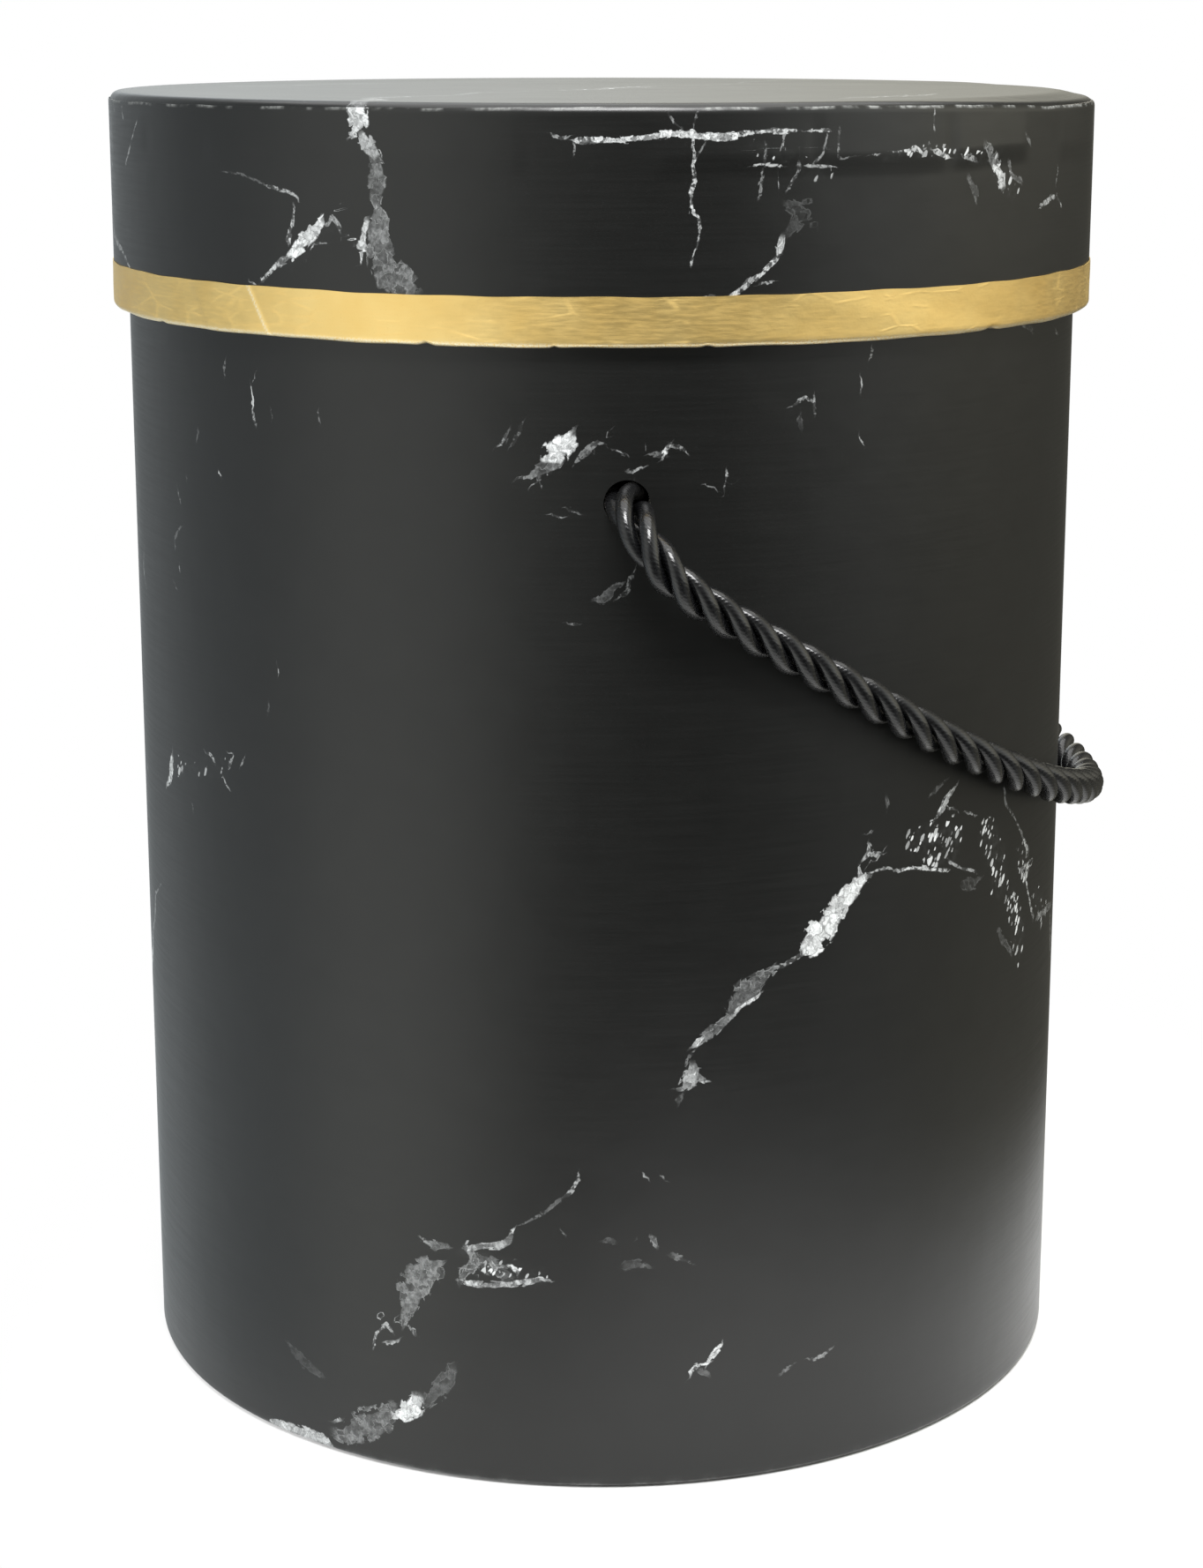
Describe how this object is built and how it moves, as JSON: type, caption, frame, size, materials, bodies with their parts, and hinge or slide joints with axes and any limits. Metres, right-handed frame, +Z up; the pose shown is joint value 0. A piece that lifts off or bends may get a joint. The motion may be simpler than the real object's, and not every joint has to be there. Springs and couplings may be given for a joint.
{
  "type": "hat box",
  "caption": "Round rigid storage box with a deep lift-off lid, black marble-print paper, a gold foil band and a twisted cord handle.",
  "frame": {"origin": "centre of the flat base, on the surface the box stands on", "axes": "+Z up along the box's axis; the cord holes are at -Y (front) and +Y (rear); the cord hangs round the +X side"},
  "size_m": [0.1964, 0.2099, 0.2494],
  "materials": {
    "greyboard": "raw grey board",
    "marble_paper": "black paper printed with white marble veins, satin",
    "lining_paper": "plain off-white paper",
    "base_paper": "plain black paper, matt",
    "gold_foil": "gold foil paper, brushed, slightly wrinkled",
    "satin_cord": "black satin cord, three strands twisted",
    "clear_tape": "thin clear tape"
  },
  "bodies": {
    "box": {"body_wall": "greyboard", "base_board": "greyboard", "body_wrap": "marble_paper", "body_lining": "lining_paper", "base_lining": "lining_paper", "base_cover": "base_paper"},
    "lid": {"lid_rim": "greyboard", "lid_board": "greyboard", "lid_top_paper": "marble_paper", "lid_rim_wrap": "marble_paper", "gold_band": "gold_foil", "lid_rim_lining": "lining_paper", "lid_lining_disc": "lining_paper"},
    "handle": {"handle_cord": "satin_cord", "front_knot": "satin_cord", "rear_knot": "satin_cord", "front_cord_tail": "satin_cord", "rear_cord_tail": "satin_cord", "front_end_tape": "clear_tape", "rear_end_tape": "clear_tape"}
  },
  "joints": [
    {"name": "lid_lift", "type": "slide", "parent": "box", "child": "lid", "axis": [0, 0, 1], "range_m": [0, 0.1]},
    {"name": "handle_swing", "type": "hinge", "parent": "box", "child": "handle", "pos_m": [0, 0, 0.1825], "axis": [0, -1, 0], "range_deg": [0, 65]}
  ]
}
